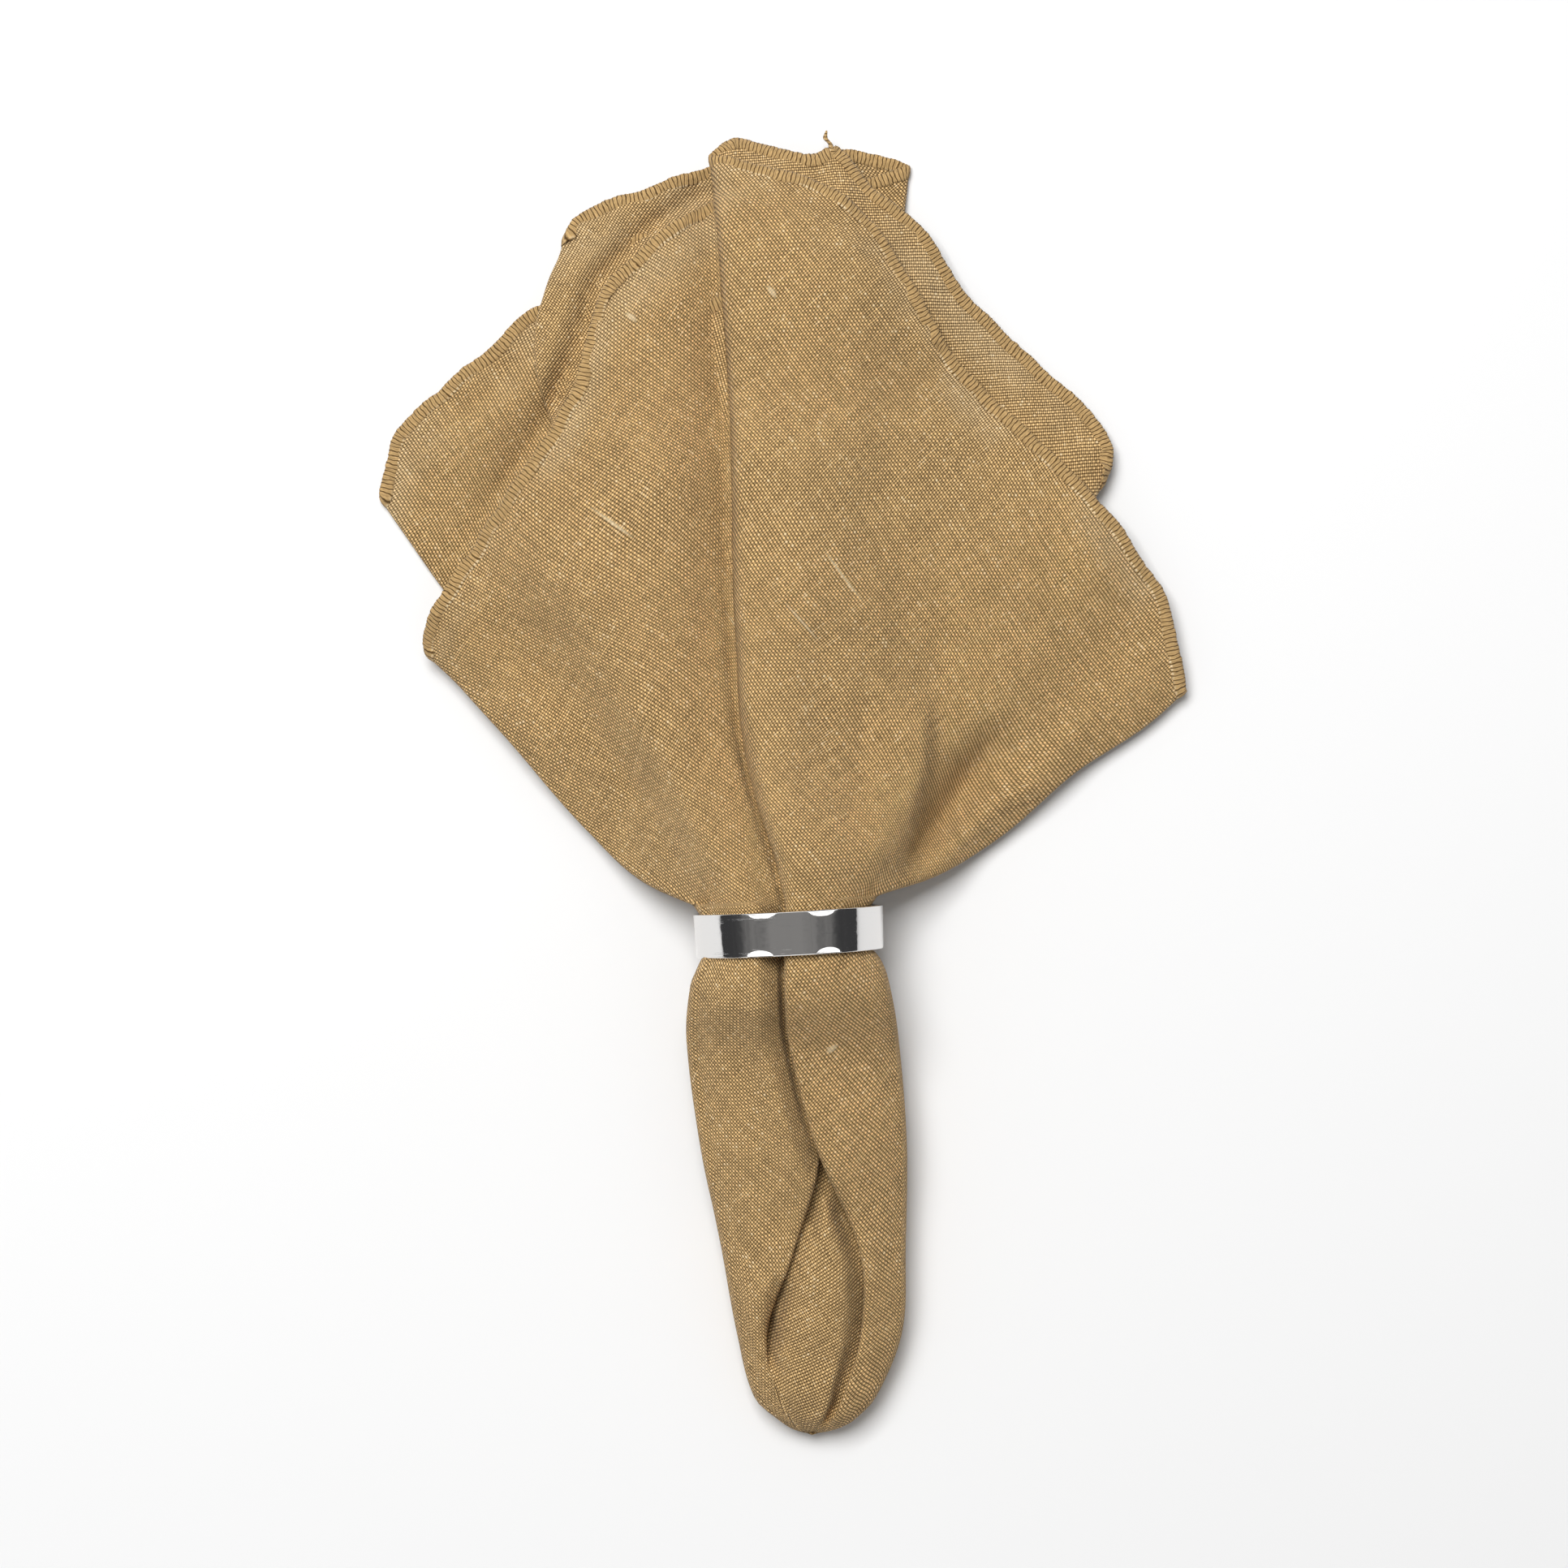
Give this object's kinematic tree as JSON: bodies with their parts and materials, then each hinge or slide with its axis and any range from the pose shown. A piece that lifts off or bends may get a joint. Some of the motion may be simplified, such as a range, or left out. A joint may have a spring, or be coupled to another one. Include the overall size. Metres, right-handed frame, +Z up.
{
  "type": "napkin in a ring",
  "caption": "Square linen napkin gathered at its centre and pulled through a polished flat band ring, with a fan of folded petals above and a closed tail below.",
  "frame": {"origin": "on the table, under the middle of the whole object's outline", "axes": "+Z up from the table, +Y from the closed tail towards the fan of petals, +X to the right seen from above"},
  "size_m": [0.1938, 0.3121, 0.0446],
  "materials": {
    "linen": "washed plain weave, ochre",
    "metal": "polished"
  },
  "bodies": {
    "root": {"napkin": "linen", "ring": "metal"}
  },
  "joints": []
}
